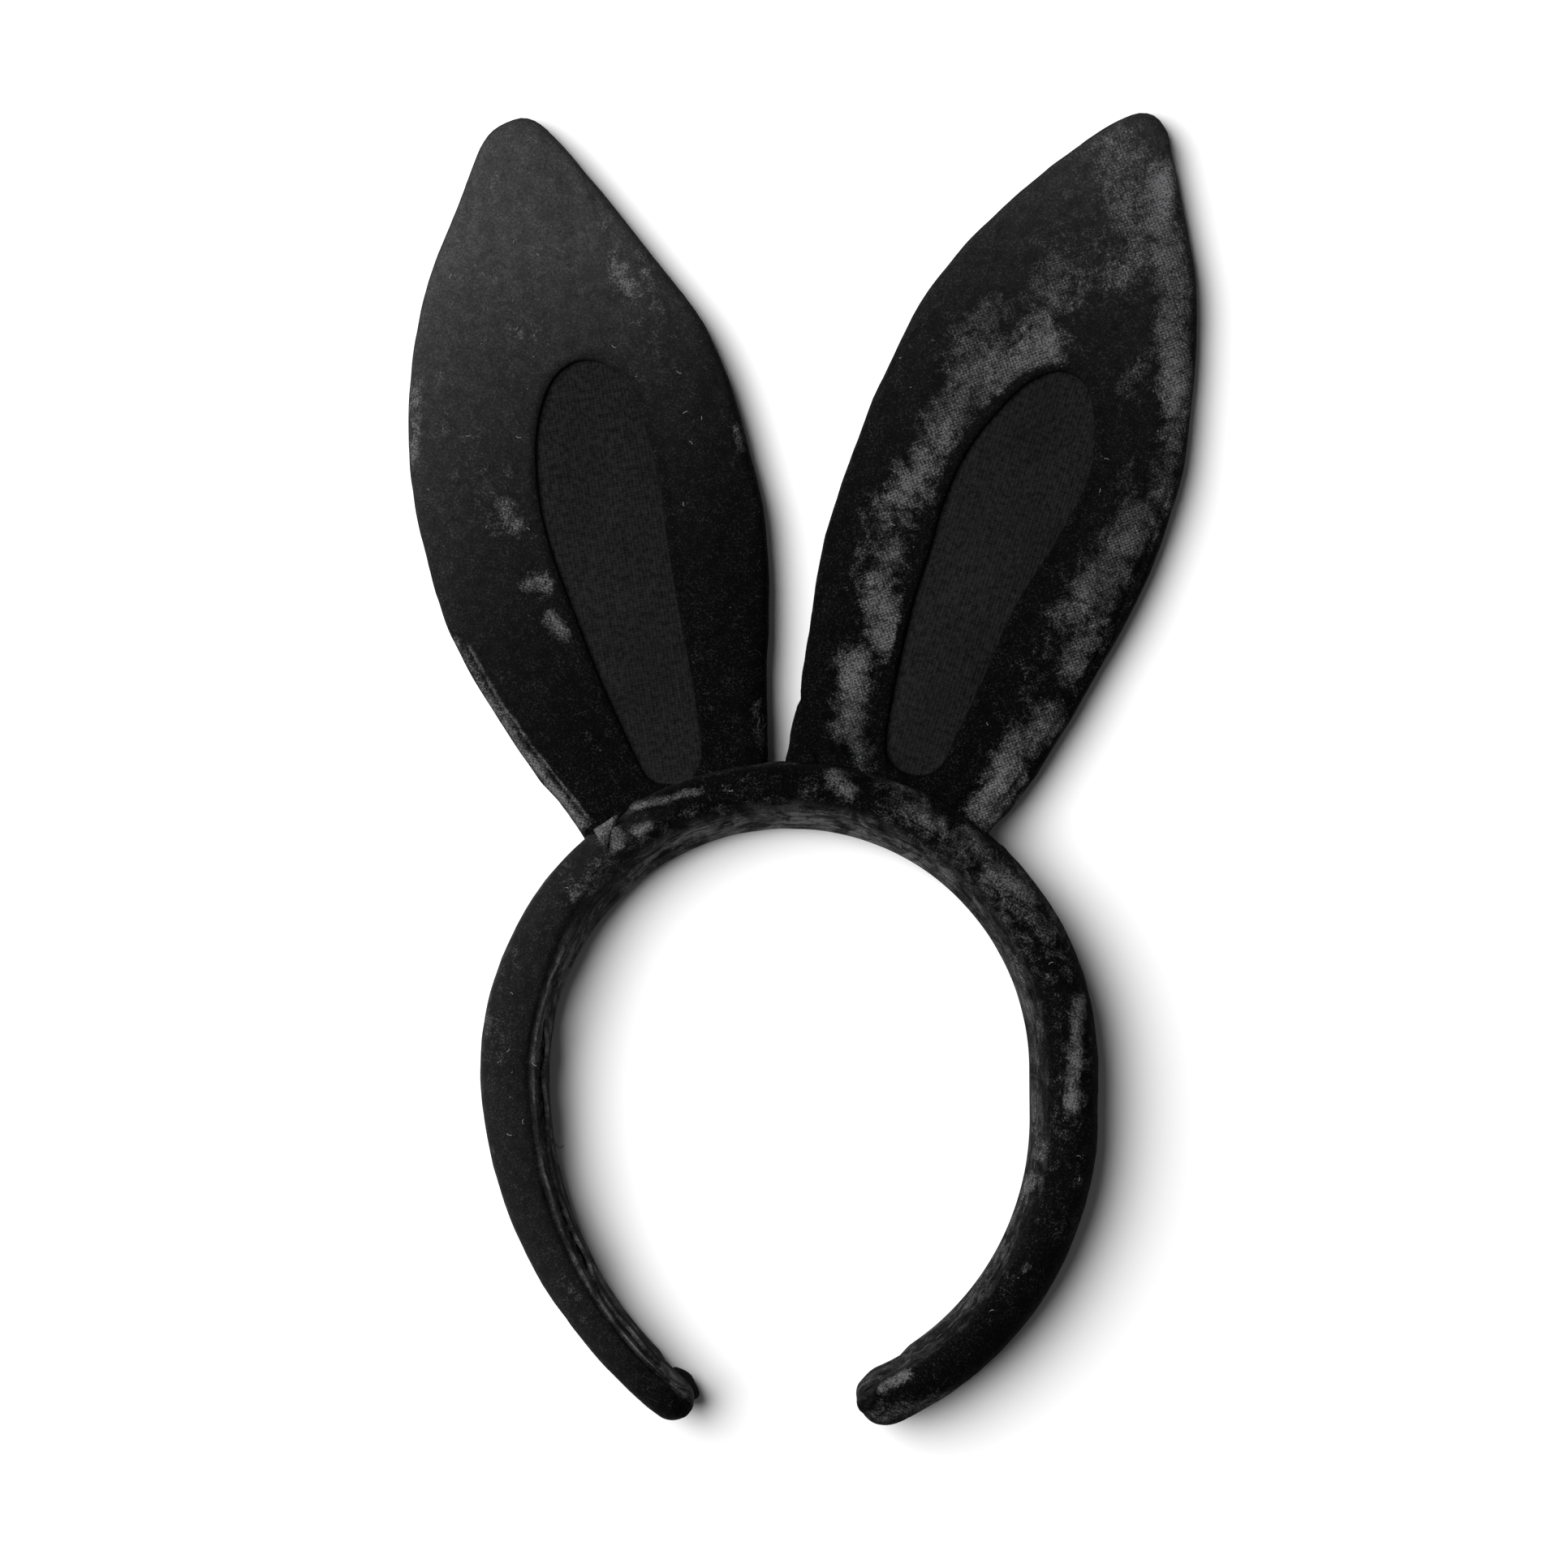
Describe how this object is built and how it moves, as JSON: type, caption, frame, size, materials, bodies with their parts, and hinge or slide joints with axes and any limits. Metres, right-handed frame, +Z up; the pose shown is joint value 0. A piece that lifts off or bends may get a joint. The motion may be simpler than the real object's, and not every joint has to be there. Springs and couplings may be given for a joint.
{
  "type": "animal ears headband",
  "caption": "Padded crushed-velvet headband with two flat wired rabbit ears and knitted inserts, worn over the head and lying flat.",
  "frame": {"origin": "middle of the bounding box, on the table that the headband lies on", "axes": "+X to the right seen from above, +Y towards the ear tips, +Z up off the table"},
  "size_m": [0.1994, 0.3287, 0.025],
  "materials": {
    "velvet": "crushed pile",
    "knit": "matte fine knit",
    "stuffing": "matte foam",
    "plastic": "matte",
    "wire": "drawn wire",
    "thread": "sewing thread"
  },
  "bodies": {
    "crown": {"core_crown": "plastic", "cover_crown": "velvet", "foam_crown": "stuffing", "lining_crown": "velvet", "lining_stitches_crown": "thread"},
    "left_arm": {"core_left": "plastic", "cover_left": "velvet", "end_left": "velvet", "foam_left": "stuffing", "lining_left": "velvet", "lining_stitches_left": "thread"},
    "right_arm": {"core_right": "plastic", "cover_right": "velvet", "end_right": "velvet", "foam_right": "stuffing", "lining_right": "velvet", "lining_stitches_right": "thread"},
    "left_ear": {"ear_back_left": "velvet", "ear_foot_left": "velvet", "ear_front_left": "velvet", "ear_insert_left": "knit", "ear_pad_left": "stuffing", "ear_wire_left": "wire", "foot_stitches_left": "thread"},
    "right_ear": {"ear_back_right": "velvet", "ear_foot_right": "velvet", "ear_front_right": "velvet", "ear_insert_right": "knit", "ear_pad_right": "stuffing", "ear_wire_right": "wire", "foot_stitches_right": "thread"}
  },
  "joints": [
    {"name": "left_arm_spring", "type": "hinge", "parent": "crown", "child": "left_arm", "pos_m": [-0.05653, -0.0199, 0.0125], "axis": [0, 0, -1], "range_deg": [0, 16], "stiffness_Nm_per_rad": 0.7},
    {"name": "right_arm_spring", "type": "hinge", "parent": "crown", "child": "right_arm", "pos_m": [0.04778, -0.01899, 0.0125], "axis": [0, 0, 1], "range_deg": [0, 16], "stiffness_Nm_per_rad": 0.7},
    {"name": "left_ear_bend", "type": "hinge", "parent": "crown", "child": "left_ear", "pos_m": [-0.03374, -0.00644, 0.0096], "axis": [0.9196, 0.3928, 0], "range_deg": [-30, 30]},
    {"name": "right_ear_bend", "type": "hinge", "parent": "crown", "child": "right_ear", "pos_m": [0.02105, -0.00505, 0.0096], "axis": [0.944, -0.33, 0], "range_deg": [-30, 30]}
  ]
}
